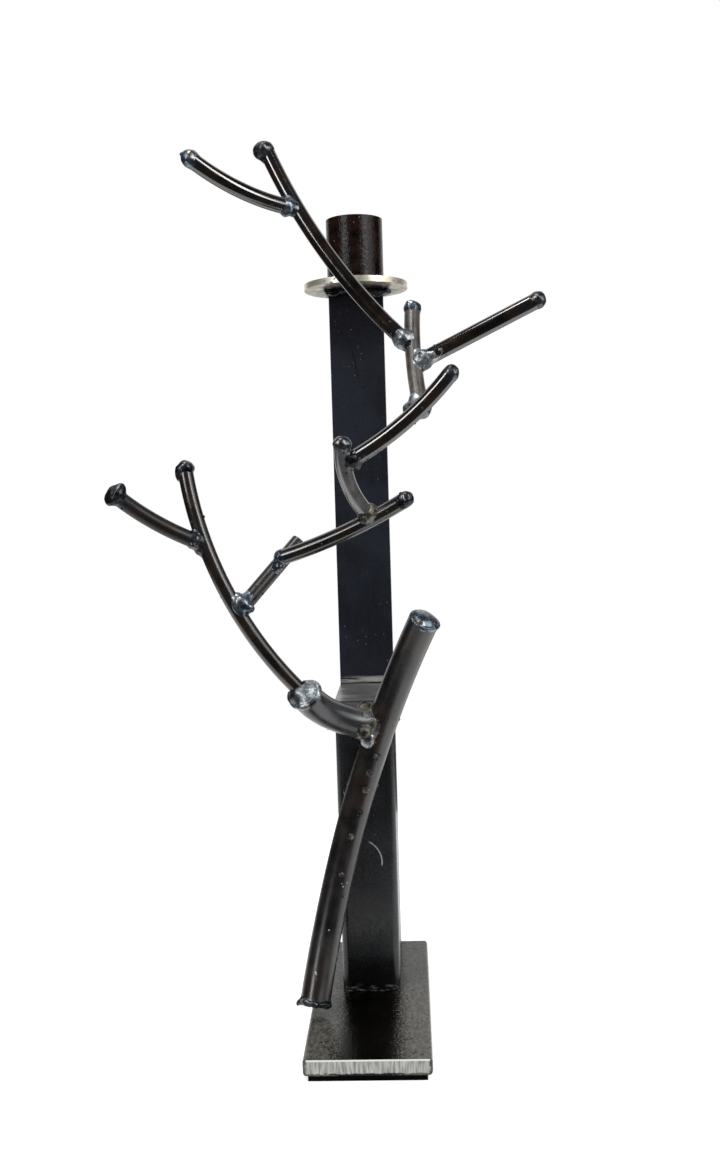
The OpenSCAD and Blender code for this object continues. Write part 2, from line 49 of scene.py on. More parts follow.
# Camera, found from the base plate, the posts and the drip washer
CAMERA_PLACE = Vector((21.1, -520.8, 224.4)) * MM
CAMERA_YAW = math.radians(2.3)
CAMERA_PITCH = math.radians(3.71)
CAMERA_ROLL = math.radians(1.71)
CAMERA_LENS = 37.6
CAMERA_SENSOR = 36
CAMERA_NEAR = 0.01

# Each lamp: place, aim, width and height in metres, and power in watts
LAMPS = {
    "overhead_lamp": ((-0.14, -0.22, 1.1), (0, 0, 0.2), 0.3, 0.3, 5),
    "left_strip": ((-0.57, -0.63, 0.72), (0, 0, 0.3), 0.2, 0.6, 4.2),
    "right_strip": ((0.63, -0.57, 0.72), (0, 0, 0.25), 0.2, 0.6, 4),
    "right_softbox": ((0.8, -0.3, 0.5), (0, 0, 0.2), 0.5, 0.5, 2),
}

# Light that the white surroundings shed on the object, and how white they are when seen themselves
WORLD_LIGHT = 0.42
WORLD_SEEN = 1.0

# White table under the object, in metres, its colour, and its glow when seen itself
TABLE_FRONT = -0.13
TABLE_BACK = 0.35
TABLE_SIDE = 0.5
TABLE_WHITE = (0.93, 0.93, 0.93, 1)
TABLE_GLOW = 0.5

# Dim room round the camera and the table, in metres, and its colour
ROOM_FRONT = -0.9
ROOM_BACK = 1.0
ROOM_FLOOR = -0.01
ROOM_CEILING = 1.3
ROOM_CEILING_BACK = 0.45
ROOM_SIDE = 0.95
ROOM_GREY = (0.035, 0.035, 0.035, 1)

WHITE = (1, 1, 1, 1)

# Every rod, from the trunk upwards, with the welds and melted ends on it
ROD_JOINTS = {
    "trunk": ["trunk_foot_bead", "trunk_top_cap", "fork_stub_weld", "trunk_weld"],
    "fork_stub": ["fork_stub_weld", "fork_stub_cap", "left_limb_weld"],
    "left_limb": ["left_limb_weld", "left_twig_weld", "inner_short_rod_weld", "left_limb_tip"],
    "left_twig": ["left_twig_weld", "left_twig_tip"],
    "inner_short_rod": ["inner_short_rod_weld", "inner_long_rod_weld"],
    "inner_long_rod": ["inner_long_rod_weld", "curved_twig_weld", "inner_long_rod_tip"],
    "curved_twig": ["curved_twig_weld", "upper_rod_weld", "curved_twig_tip"],
    "upper_rod": ["upper_rod_weld", "upright_twig_weld", "upper_rod_tip"],
    "upright_twig": ["upright_twig_weld", "right_twig_weld", "top_rod_weld", "upright_twig_tip"],
    "right_twig": ["right_twig_weld", "right_twig_tip"],
    "top_rod": ["top_rod_weld", "top_twig_weld", "top_rod_tip"],
    "top_twig": ["top_twig_weld", "top_twig_tip"],
}

# Places of the sockets on a colour mix node, whose names repeat for other kinds of value
MIX_FACTOR = 0
MIX_FIRST = 6
MIX_SECOND = 7
MIX_RESULT = 2


def middle(node):
    low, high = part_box(node)
    return (Vector(low) + Vector(high)) / 2


def colour(value):
    """Red, green and blue get their alpha; anything else passes as it is."""
    if isinstance(value, tuple) and len(value) == 3:
        return (*value, 1.0)
    return value


class Sheet:
    """A shader tree, with short ways to add the nodes that the finishes use."""

    def __init__(self, tree):
        self.tree = tree

    def add(self, kind, **settings):
        node = self.tree.nodes.new(kind)
        for name, value in settings.items():
            setattr(node, name, value)
        return node

    def feed(self, socket, value):
        if isinstance(value, bpy.types.NodeSocket):
            self.tree.links.new(value, socket)
        else:
            socket.default_value = value

    def place(self):
        return self.add("ShaderNodeTexCoord").outputs["Object"]

    def facing(self):
        return self.add("ShaderNodeTexCoord").outputs["Normal"]

    def axes(self, vector):
        node = self.add("ShaderNodeSeparateXYZ")
        self.feed(node.inputs[0], vector)
        return node.outputs

    def noise(self, scale, detail=4.0, rough=0.55, at=None):
        node = self.add("ShaderNodeTexNoise")
        self.feed(node.inputs["Vector"], at if at is not None else self.place())
        self.feed(node.inputs["Scale"], scale)
        self.feed(node.inputs["Detail"], detail)
        self.feed(node.inputs["Roughness"], rough)
        return node.outputs[0]

    def ranged(self, value, low, high, to_low=0.0, to_high=1.0):
        node = self.add("ShaderNodeMapRange", interpolation_type="SMOOTHSTEP")
        names = ("Value", "From Min", "From Max", "To Min", "To Max")
        for name, number in zip(names, (value, low, high, to_low, to_high)):
            self.feed(node.inputs[name], number)
        return node.outputs[0]

    def fades(self, value, start, end, strength=1.0):
        """The strength up to the start, and nothing past the end."""
        return self.ranged(value, start, end, to_low=strength, to_high=0.0)

    def wander(self, scale, detail, reach):
        """A value that wanders over the surface, by the reach to either side of nothing."""
        return self.ranged(self.noise(scale, detail), low=0.2, high=0.8, to_low=-reach, to_high=reach)

    def math(self, operation, a, b=0.0):
        node = self.add("ShaderNodeMath", operation=operation)
        self.feed(node.inputs[0], a)
        self.feed(node.inputs[1], b)
        return node.outputs[0]

    def times(self, *factors):
        product = factors[0]
        for factor in factors[1:]:
            product = self.math("MULTIPLY", product, factor)
        return product

    def distance(self, point):
        node = self.add("ShaderNodeVectorMath", operation="DISTANCE")
        self.feed(node.inputs[0], self.place())
        self.feed(node.inputs[1], point)
        return node.outputs["Value"]

    def mix(self, mask, a, b, share=None):
        """Colour a, with colour b where the mask is: all of it, or the share that is given."""
        if share is not None:
            mask = self.times(mask, share)
        node = self.add("ShaderNodeMix", data_type="RGBA")
        self.feed(node.inputs[MIX_FACTOR], mask)
        self.feed(node.inputs[MIX_FIRST], colour(a))
        self.feed(node.inputs[MIX_SECOND], colour(b))
        return node.outputs[MIX_RESULT]

    def ramp(self, factor, stops):
        node = self.add("ShaderNodeValToRGB")
        self.feed(node.inputs[0], factor)
        points = node.color_ramp.elements
        while len(points) < len(stops):
            points.new(0.5)
        for point, (where, tint) in zip(points, stops):
            point.position = where
            point.color = colour(tint)
        return node.outputs[0]

    def bump(self, height, strength, depth):
        node = self.add("ShaderNodeBump")
        self.feed(node.inputs["Height"], height)
        self.feed(node.inputs["Strength"], strength)
        self.feed(node.inputs["Distance"], depth)
        return node.outputs[0]

    def group(self, tree, **values):
        node = self.add("ShaderNodeGroup", node_tree=tree)
        for name, value in values.items():
            self.feed(node.inputs[name.capitalize()], value)
        return node.outputs

    def specked(self, tint, density, size, share, speck):
        """The tint with scattered specks of another colour in it, and the mask of the specks."""
        mask = self.group(SPECKS, density=density, size=size)["Mask"]
        return self.mix(mask, tint, speck, share), mask


def shader_group(name, inputs, outputs):
    tree = bpy.data.node_groups.new(name, "ShaderNodeTree")
    for label, kind, value in inputs:
        socket = tree.interface.new_socket(label, in_out="INPUT", socket_type=kind)
        socket.default_value = value
    for label, kind in outputs:
        tree.interface.new_socket(label, in_out="OUTPUT", socket_type=kind)
    sheet = Sheet(tree)
    return sheet, sheet.add("NodeGroupInput").outputs, sheet.add("NodeGroupOutput").inputs


def scale_clouds_group():
    """Patches of thicker and thinner mill scale, with a fine grain in them."""
    sheet, given, out = shader_group(
        "scale_clouds",
        [("Patch", "NodeSocketFloat", 60.0), ("Grain", "NodeSocketFloat", 900.0)],
        [("Clouds", "NodeSocketFloat"), ("Grit", "NodeSocketFloat")],
    )
    patches = sheet.noise(given["Patch"], detail=6.0)
    sheet.feed(out["Clouds"], sheet.ranged(patches, low=0.36, high=0.66))
    sheet.feed(out["Grit"], sheet.noise(given["Grain"], detail=3.0, rough=0.6))
    return sheet.tree


def specks_group():
    """Scattered round specks, more of them in some places than in others."""
    sheet, given, out = shader_group(
        "specks",
        [("Density", "NodeSocketFloat", 300.0), ("Size", "NodeSocketFloat", 0.16)],
        [("Mask", "NodeSocketFloat")],
    )
    cells = sheet.add("ShaderNodeTexVoronoi")
    sheet.feed(cells.inputs["Vector"], sheet.place())
    sheet.feed(cells.inputs["Scale"], given["Density"])
    chosen = sheet.ranged(sheet.noise(120.0, detail=2.0), low=0.5, high=0.66)
    inside = sheet.math("SUBTRACT", sheet.times(given["Size"], chosen), cells.outputs["Distance"])
    sheet.feed(out["Mask"], sheet.ranged(inside, low=0.0, high=0.06))
    return sheet.tree


def tool_lines_group():
    """Fine lines left by rolling, sawing or grinding, along the axis with the smallest stretch."""
    sheet, given, out = shader_group(
        "tool_lines",
        [("Stretch", "NodeSocketVector", (1.0, 1.0, 0.03)), ("Fineness", "NodeSocketFloat", 900.0)],
        [("Lines", "NodeSocketFloat")],
    )
    at = sheet.add("ShaderNodeVectorMath", operation="MULTIPLY")
    sheet.feed(at.inputs[0], sheet.place())
    sheet.feed(at.inputs[1], given["Stretch"])
    streaks = sheet.noise(given["Fineness"], detail=5.0, rough=0.6, at=at.outputs[0])
    sheet.feed(out["Lines"], sheet.ranged(streaks, low=0.3, high=0.7))
    return sheet.tree


# Temper colours by the distance from a weld, as a share of the reach of its heat
TEMPER_COLOURS = [
    (0.0, (0.012, 0.016, 0.021)),
    (0.4, (0.007, 0.007, 0.009)),
    (0.6, (0.016, 0.0075, 0.005)),
    (0.85, (0.022, 0.0125, 0.006)),
    (1.0, (0.012, 0.009, 0.0065)),
]


def heat_rings_group():
    """Temper colours round a weld: blue close to it, then purple brown, then straw, then nothing."""
    sheet, given, out = shader_group(
        "heat_rings",
        [("Centre", "NodeSocketVector", (0.0, 0.0, 0.0)), ("Reach", "NodeSocketFloat", 0.016)],
        [("Tint", "NodeSocketColor"), ("Mask", "NodeSocketFloat")],
    )
    share = sheet.math("DIVIDE", sheet.distance(given["Centre"]), given["Reach"])
    away = sheet.math("ADD", share, sheet.wander(220.0, detail=3.0, reach=0.25))
    sheet.feed(out["Tint"], sheet.ramp(away, TEMPER_COLOURS))
    sheet.feed(out["Mask"], sheet.fades(away, start=0.45, end=1.1, strength=0.8))
    return sheet.tree


SCALE_CLOUDS = scale_clouds_group()
SPECKS = specks_group()
TOOL_LINES = tool_lines_group()
HEAT_RINGS = heat_rings_group()


def new_finish(name):
    finish = bpy.data.materials.new(name)
    finish.use_nodes = True
    return finish, Sheet(finish.node_tree), finish.node_tree.nodes["Principled BSDF"].inputs


def roughen(sheet, shader, pattern, low, high, smooth, dull):
    """Roughness that goes from smooth to dull as the pattern goes from low to high."""
    sheet.feed(shader["Roughness"], sheet.ranged(pattern, low, high, to_low=smooth, to_high=dull))


# Colours on the rods, and how far the heat of a weld reaches along them
RUBBED_ROD = (0.08, 0.07, 0.06)
ROD_PIT = (0.004, 0.004, 0.004)
# Pale flecks on the trunk's foot are painted glints
PALE_GLINT_FLECK = (0.42, 0.4, 0.36)
HEAT_REACH = 17 * MM


def rod_finish(name, scale, worn, rough, gloss, heat, heat_points, marks):
    """Rod with mottled scale, rubbed patches, temper colours by its welds, pits and its own marks."""
    finish, sheet, shader = new_finish(name)
    clouds = sheet.group(SCALE_CLOUDS, patch=95.0, grain=1500.0)
    rubbed = sheet.ranged(sheet.noise(300.0, detail=5.0, rough=0.65), low=0.52, high=0.72)
    tint = sheet.mix(clouds["Clouds"], scale, worn)
    tint = sheet.mix(rubbed, tint, RUBBED_ROD, share=0.12)
    for point in heat_points:
        rings = sheet.group(HEAT_RINGS, centre=point, reach=HEAT_REACH)
        tint = sheet.mix(rings["Mask"], tint, rings["Tint"], share=heat)
    tint, pits = sheet.specked(tint, density=420.0, size=0.3, share=0.7, speck=ROD_PIT)
    for mark in marks:
        tint = mark(sheet, tint)
    sheet.feed(shader["Base Color"], tint)
    shader["IOR"].default_value = gloss
    smears = sheet.noise(140.0, detail=4.0)
    roughen(sheet, shader, smears, low=0.35, high=0.7, smooth=rough - 0.03, dull=rough + 0.06)
    height = sheet.math("SUBTRACT", sheet.times(clouds["Grit"], 0.25), pits)
    unevenness = max(0.0, rough * 0.5 - 0.06)
    sheet.feed(shader["Normal"], sheet.bump(height, strength=unevenness, depth=0.12 * MM))
    return finish


def painted_foot_glints(sheet, tint):
    """Painted glints: small pale flecks on the lower half of the trunk."""
    height = sheet.axes(sheet.place())["Z"]
    low = sheet.fades(height, start=55 * MM, end=75 * MM, strength=0.75)
    return sheet.specked(tint, density=450.0, size=0.24, share=low, speck=PALE_GLINT_FLECK)[0]


# Colours on the lower post and the tall bar
ROLLED_PIT = (0.003, 0.003, 0.004)
PALE_DUST = (0.34, 0.34, 0.36)
WASHER_SOOT = (0.006, 0.006, 0.009)
SCORED_STEEL = (0.3, 0.3, 0.285)
SEAM_SHADE = (0.003, 0.003, 0.003)
DARK_SCRATCH = (0.002, 0.002, 0.003)
PALE_SCRATCH = (0.38, 0.38, 0.37)
# Painted shade at the foot of the lower post
FOOT_PAINTED_SHADE = (0.002, 0.002, 0.002)
FOOT_STREAK = (0.22, 0.22, 0.22)

# Half width of a scratch, where it is full and where it ends
SCRATCH_FULL = 0.12 * MM
SCRATCH_END = 0.4 * MM


def rolled_finish(name, scale, worn, rough, gloss, marks):
    """Rolled or drawn black steel: upright lines, cloudy scale, pits, pale dust and its own marks."""
    finish, sheet, shader = new_finish(name)
    clouds = sheet.group(SCALE_CLOUDS, patch=45.0, grain=1200.0)
    lines = sheet.group(TOOL_LINES, stretch=(1.0, 1.0, 0.02), fineness=700.0)["Lines"]
    tint = sheet.mix(clouds["Clouds"], scale, worn)
    tint = sheet.mix(lines, tint, worn, share=0.3)
    for mark in marks:
        tint = mark(sheet, tint)
    tint, _ = sheet.specked(tint, density=620.0, size=0.26, share=0.6, speck=ROLLED_PIT)
    tint, _ = sheet.specked(tint, density=430.0, size=0.14, share=0.4, speck=PALE_DUST)
    sheet.feed(shader["Base Color"], tint)
    shader["IOR"].default_value = gloss
    roughen(sheet, shader, clouds["Grit"], low=0.25, high=0.75, smooth=rough - 0.06, dull=rough + 0.1)
    height = sheet.math("ADD", sheet.times(clouds["Grit"], 0.3), lines)
    sheet.feed(shader["Normal"], sheet.bump(height, strength=0.1, depth=0.08 * MM))
    return finish


def washer_smut(sheet, tint):
    """Soot and blue heat at the top of the tall bar, under the drip washer."""
    away = sheet.distance(tuple(middle("washer_weld")))
    sooty = sheet.fades(away, start=18 * MM, end=34 * MM)
    return sheet.mix(sooty, tint, WASHER_SOOT, share=0.85)


def grinder_marks(sheet, tint):
    """Level scratches on the front of the tall bar just above the shelf, and a dark seam under them."""
    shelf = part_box("post_cap")[1][2]
    bar_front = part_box("tall_bar")[0][1]
    axes = sheet.axes(sheet.place())
    above = sheet.math("SUBTRACT", axes["Z"], shelf)
    front = sheet.fades(axes["Y"], start=bar_front + 0.5 * MM, end=bar_front + 1.5 * MM)
    near = sheet.times(front, sheet.ranged(above, low=-0.6 * MM, high=-0.2 * MM))
    band = sheet.fades(above, start=2.4 * MM, end=4.2 * MM)
    lines = sheet.group(TOOL_LINES, stretch=(0.05, 1.0, 1.0), fineness=900.0)["Lines"]
    streak = sheet.ranged(lines, low=0.4, high=0.8)
    tint = sheet.mix(sheet.times(near, band, streak), tint, SCORED_STEEL, share=0.85)
    seam = sheet.fades(above, start=0.5 * MM, end=0.9 * MM)
    return sheet.mix(sheet.times(near, seam), tint, SEAM_SHADE, share=0.9)


def bar_scratch(sheet, tint):
    """One faint dark scratch high on the tall bar, leaning a little."""
    across, height, lean = -1 * MM, 289 * MM, -0.2
    bottom, top, taper = 281 * MM, 298 * MM, 3 * MM
    axes = sheet.axes(sheet.place())
    leaned = sheet.times(sheet.math("SUBTRACT", axes["Z"], height), lean)
    aside = sheet.math("SUBTRACT", axes["X"], across)
    off_line = sheet.math("ABSOLUTE", sheet.math("SUBTRACT", aside, leaned))
    line = sheet.fades(off_line, SCRATCH_FULL, SCRATCH_END)
    from_bottom = sheet.ranged(axes["Z"], bottom, bottom + taper)
    to_top = sheet.fades(axes["Z"], top - taper, top)
    return sheet.mix(sheet.times(line, from_bottom, to_top), tint, DARK_SCRATCH, share=0.8)


def arc_scratch(sheet, tint):
    """One pale curved scratch on the front of the lower post: the upper right part of a ring."""
    across, height, radius = -4.3 * MM, 67.1 * MM, 10.4 * MM
    left, bottom, taper = 0.0, 65 * MM, 1.5 * MM
    centre = (across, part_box("lower_post")[0][1], height)
    off_line = sheet.math("ABSOLUTE", sheet.math("SUBTRACT", sheet.distance(centre), radius))
    line = sheet.fades(off_line, SCRATCH_FULL, SCRATCH_END)
    axes = sheet.axes(sheet.place())
    from_left = sheet.ranged(axes["X"], left, left + taper)
    from_bottom = sheet.ranged(axes["Z"], bottom, bottom + taper)
    return sheet.mix(sheet.times(line, from_left, from_bottom), tint, PALE_SCRATCH, share=0.9)


def foot_shade_and_streaks(sheet, tint):
    """Painted shade darkening the foot of the lower post, with a few bright level streaks where it meets
    the base.
    """
    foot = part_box("lower_post")[0][2]
    height = sheet.axes(sheet.place())["Z"]
    # Painted shade: darker towards the foot of the post
    sooty = sheet.fades(height, start=foot + 12 * MM, end=foot + 19 * MM)
    tint = sheet.mix(sooty, tint, FOOT_PAINTED_SHADE, share=0.85)
    lines = sheet.group(TOOL_LINES, stretch=(0.2, 1.0, 1.0), fineness=1500.0)["Lines"]
    band = sheet.fades(height, start=foot + 1 * MM, end=foot + 4 * MM)
    streak = sheet.ranged(lines, low=0.62, high=0.85)
    return sheet.mix(sheet.times(band, streak), tint, FOOT_STREAK, share=0.5)


# Colours on the base plate
# The first two colours fill the dark band in line with the lower post, which is partly a painted
# reflection of the post
BASE_SCALE_AND_REFLECTION = (0.0005, 0.0005, 0.0004)
BASE_WORN_AND_REFLECTION = (0.002, 0.0018, 0.0014)
BASE_GRAIN = (0.003, 0.0027, 0.002)
BASE_GREY_DARK = (0.032, 0.031, 0.0262)
BASE_GREY_PALE = (0.094, 0.0915, 0.078)
BASE_PIT = (0.001, 0.001, 0.001)
SAWN_DARK = (0.17, 0.17, 0.162)
SAWN_PALE = (0.44, 0.44, 0.42)
SAWN_STAIN = (0.26, 0.255, 0.235)
SAWN_TOP_EDGE_BRIGHT = (0.66, 0.66, 0.64)


def plate_scale_and_post_reflection(sheet, aside, clouds, grain):
    """Black scale in line with the lower post, partly a painted reflection of the post, rubbed grey with
    a ragged edge at both sides of it.
    """
    # Dark band in line with the post: black scale and a painted reflection of the post
    tint = sheet.mix(clouds, BASE_SCALE_AND_REFLECTION, BASE_WORN_AND_REFLECTION)
    tint = sheet.mix(grain, tint, BASE_GRAIN, share=0.35)
    ragged = sheet.math("ADD", aside, sheet.wander(1300.0, detail=3.0, reach=6 * MM))
    post_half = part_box("lower_post")[1][0]
    rubbed = sheet.ranged(ragged, low=post_half - 0.5 * MM, high=post_half + 1.5 * MM)
    grey = sheet.mix(grain, BASE_GREY_DARK, BASE_GREY_PALE)
    tint = sheet.mix(rubbed, tint, grey)
    return sheet.specked(tint, density=520.0, size=0.42, share=0.9, speck=BASE_PIT)


def sawn_end(sheet, axes, aside):
    """Mask of the bare sawn face at the front end, inside a dark rim with a wandering edge."""
    (_, _, bottom), (half_width, _, _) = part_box("base_plate")
    wander = sheet.wander(420.0, detail=3.0, reach=0.4 * MM)
    across = sheet.math("ADD", aside, wander)
    in_width = sheet.fades(across, start=half_width - 1.6 * MM, end=half_width - 1 * MM)
    up = sheet.math("ADD", axes["Z"], wander)
    in_height = sheet.ranged(up, low=bottom + 0.5 * MM, high=bottom + 1.1 * MM)
    to_front = sheet.fades(sheet.axes(sheet.facing())["Y"], start=-0.9, end=-0.6)
    return sheet.times(to_front, in_width, in_height)


def sawn_steel(sheet, axes, saw_lines):
    """Bare steel with upright saw lines, a few stains and a bright band along the top edge."""
    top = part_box("base_plate")[1][2]
    bare = sheet.mix(saw_lines, SAWN_DARK, SAWN_PALE)
    stained = sheet.ranged(sheet.noise(160.0, detail=4.0), low=0.5, high=0.75)
    bare = sheet.mix(stained, bare, SAWN_STAIN, share=0.4)
    top_edge_band = sheet.ranged(axes["Z"], low=top - 0.9 * MM, high=top - 0.5 * MM)
    return sheet.mix(top_edge_band, bare, SAWN_TOP_EDGE_BRIGHT)


def base_finish():
    """Base plate: black scale that is partly a painted reflection of the post, grey scale with a fine
    grain, and a bare sawn face at the front end.
    """
    finish, sheet, shader = new_finish("base_scale")
    clouds = sheet.group(SCALE_CLOUDS, patch=70.0, grain=1500.0)
    grain = sheet.group(TOOL_LINES, stretch=(0.8, 0.35, 1.0), fineness=1000.0)["Lines"]
    saw_lines = sheet.group(TOOL_LINES, stretch=(1.0, 1.0, 0.14), fineness=1100.0)["Lines"]
    axes = sheet.axes(sheet.place())
    aside = sheet.math("ABSOLUTE", axes["X"])
    tint, pits = plate_scale_and_post_reflection(sheet, aside, clouds["Clouds"], grain)
    sawn = sawn_end(sheet, axes, aside)
    sheet.feed(shader["Base Color"], sheet.mix(sawn, tint, sawn_steel(sheet, axes, saw_lines)))
    smooth = sheet.ranged(clouds["Grit"], low=0.25, high=0.75, to_low=0.12, to_high=0.22)
    sheet.feed(shader["Roughness"], sheet.math("MAXIMUM", smooth, sheet.times(sawn, 0.45)))
    scored = sheet.times(saw_lines, sawn, 1.5)
    grit = sheet.math("ADD", sheet.times(clouds["Grit"], 0.5), sheet.times(grain, 0.3))
    height = sheet.math("SUBTRACT", sheet.math("ADD", scored, grit), pits)
    shader["Specular IOR Level"].default_value = 0.13
    sheet.feed(shader["Normal"], sheet.bump(height, strength=0.6, depth=0.16 * MM))
    return finish


# Colours of the ground shelf
GROUND_DARK = (0.15, 0.15, 0.15)
GROUND_PALE = (0.43, 0.43, 0.42)
GROUND_CLOUD = (0.1, 0.1, 0.102)


def ground_finish():
    """Ground bare steel on the shelf: straight grinding lines from side to side."""
    finish, sheet, shader = new_finish("ground_steel")
    lines = sheet.group(TOOL_LINES, stretch=(0.03, 1.0, 1.0), fineness=900.0)["Lines"]
    clouds = sheet.group(SCALE_CLOUDS, patch=90.0, grain=900.0)
    tint = sheet.mix(lines, GROUND_DARK, GROUND_PALE)
    tint = sheet.mix(clouds["Clouds"], tint, GROUND_CLOUD, share=0.5)
    sheet.feed(shader["Base Color"], tint)
    shader["Metallic"].default_value = 0.8
    roughen(sheet, shader, lines, low=0.0, high=1.0, smooth=0.3, dull=0.46)
    sheet.feed(shader["Normal"], sheet.bump(lines, strength=0.3, depth=0.1 * MM))
    return finish


# Colours of the candle socket
SOCKET_BLACK = (0.0005, 0.0004, 0.0003)
SOCKET_RUST = (0.014, 0.005, 0.0028)
SOCKET_STREAK = (0.004, 0.0034, 0.003)
# Painted glints on the socket's scale
SOCKET_PAINTED_GLINT = (0.24, 0.2, 0.17)


def socket_finish():
    """Candle socket: black tube with rust-brown patches, painted glints on the scale and thin upright
    streaks.
    """
    finish, sheet, shader = new_finish("socket_scale")
    clouds = sheet.group(SCALE_CLOUDS, patch=170.0, grain=800.0)
    lines = sheet.group(TOOL_LINES, stretch=(1.0, 1.0, 0.05), fineness=420.0)["Lines"]
    tint = sheet.mix(clouds["Clouds"], SOCKET_BLACK, SOCKET_RUST)
    tint = sheet.mix(lines, tint, SOCKET_STREAK, share=0.3)
    # Pale specks are painted glints; their mask also raises the bumps
    tint, glints = sheet.specked(tint, density=480.0, size=0.3, share=0.45, speck=SOCKET_PAINTED_GLINT)
    sheet.feed(shader["Base Color"], tint)
    shader["IOR"].default_value = 1.28
    roughen(sheet, shader, clouds["Grit"], low=0.25, high=0.75, smooth=0.16, dull=0.3)
    height = sheet.math("ADD", sheet.times(clouds["Grit"], 0.8), sheet.times(glints, 0.6))
    sheet.feed(shader["Normal"], sheet.bump(height, strength=0.9, depth=0.3 * MM))
    return finish


# Colours of the drip washer
ZINC_DULL = (0.56, 0.51, 0.395)
ZINC_PALE = (0.8, 0.755, 0.655)
ZINC_SMUT = (0.06, 0.056, 0.052)
ZINC_SPOT = (0.05, 0.05, 0.05)


def washer_finish():
    """Zinc-plated washer: pale, slightly yellow, with weld smut spreading from the bar."""
    finish, sheet, shader = new_finish("zinc_plate")
    clouds = sheet.group(SCALE_CLOUDS, patch=120.0, grain=1400.0)
    tint = sheet.mix(clouds["Clouds"], ZINC_DULL, ZINC_PALE)
    away = sheet.distance(tuple(middle("washer_weld")))
    ragged = sheet.math("ADD", away, sheet.wander(260.0, detail=4.0, reach=5 * MM))
    smutty = sheet.fades(ragged, start=14.5 * MM, end=21 * MM)
    tint = sheet.mix(smutty, tint, ZINC_SMUT, share=0.9)
    tint, _ = sheet.specked(tint, density=360.0, size=0.34, share=0.8, speck=ZINC_SPOT)
    sheet.feed(shader["Base Color"], tint)
    shader["Metallic"].default_value = 0.75
    roughen(sheet, shader, clouds["Grit"], low=0.3, high=0.7, smooth=0.28, dull=0.44)
    sheet.feed(shader["Normal"], sheet.bump(clouds["Grit"], strength=0.15, depth=0.1 * MM))
    return finish


# Colours of the pad
PAD_BLACK = (0.0005, 0.0005, 0.0005)
PAD_WORN = (0.002, 0.002, 0.002)


def pad_finish():
    """Black rubber pad: dull, with a slight grain."""
    finish, sheet, shader = new_finish("pad_rubber")
    clouds = sheet.group(SCALE_CLOUDS, patch=150.0, grain=2200.0)
    sheet.feed(shader["Base Color"], sheet.mix(clouds["Clouds"], PAD_BLACK, PAD_WORN))
    shader["Specular IOR Level"].default_value = 0.05
    roughen(sheet, shader, clouds["Grit"], low=0.3, high=0.7, smooth=0.75, dull=0.95)
    sheet.feed(shader["Normal"], sheet.bump(clouds["Grit"], strength=0.3, depth=0.1 * MM))
    return finish


WELD_SLAG = (0.012, 0.011, 0.01)


def weld_finish(name, rough, *stops):
    """Weld metal: bright where it froze clean, with temper colours and dark slag in its pits."""
    finish, sheet, shader = new_finish(name)
    patches = sheet.ranged(sheet.noise(210.0, detail=4.0), low=0.32, high=0.7)
    tint = sheet.ramp(patches, stops)
    tint, slag = sheet.specked(tint, density=430.0, size=0.42, share=0.85, speck=WELD_SLAG)
    sheet.feed(shader["Base Color"], tint)
    shader["Metallic"].default_value = 0.85
    smears = sheet.noise(900.0, detail=3.0)
    roughen(sheet, shader, smears, low=0.3, high=0.7, smooth=rough - 0.06, dull=rough + 0.12)
    ripples = sheet.times(sheet.noise(700.0, detail=3.0), 0.5)
    height = sheet.math("ADD", ripples, sheet.times(slag, -0.8))
    sheet.feed(shader["Normal"], sheet.bump(height, strength=0.2, depth=0.2 * MM))
    return finish


# Weld metal: its name, its roughness, and the colours that its patches run through
BRIGHT_WELD = weld_finish(
    "bright_weld",
    0.36,
    (0.0, (0.06, 0.068, 0.076)),
    (0.35, (0.18, 0.2, 0.22)),
    (0.7, (0.34, 0.37, 0.39)),
    (1.0, (0.24, 0.21, 0.15)),
)
CAP_WELD = weld_finish(
    "cap_weld",
    0.38,
    (0.0, (0.02, 0.023, 0.026)),
    (0.4, (0.12, 0.137, 0.146)),
    (0.8, (0.31, 0.34, 0.355)),
    (1.0, (0.16, 0.075, 0.04)),
)
BLUE_WELD = weld_finish(
    "blue_weld",
    0.28,
    (0.0, (0.03, 0.036, 0.045)),
    (0.4, (0.08, 0.1, 0.125)),
    (0.75, (0.2, 0.235, 0.27)),
    (1.0, (0.12, 0.1, 0.07)),
)
DARK_WELD = weld_finish(
    "dark_weld",
    0.26,
    (0.0, (0.012, 0.012, 0.013)),
    (0.5, (0.04, 0.044, 0.05)),
    (0.8, (0.11, 0.12, 0.13)),
    (1.0, (0.07, 0.052, 0.036)),
)
SCORCHED_WELD = weld_finish(
    "scorched_weld",
    0.42,
    (0.0, (0.03, 0.03, 0.03)),
    (0.4, (0.1, 0.095, 0.075)),
    (0.7, (0.17, 0.165, 0.12)),
    (1.0, (0.09, 0.105, 0.12)),
)
SPATTER = weld_finish(
    "spatter",
    0.4,
    (0.0, (0.02, 0.019, 0.02)),
    (0.5, (0.062, 0.056, 0.054)),
    (0.8, (0.15, 0.124, 0.106)),
    (1.0, (0.06, 0.056, 0.054)),
)

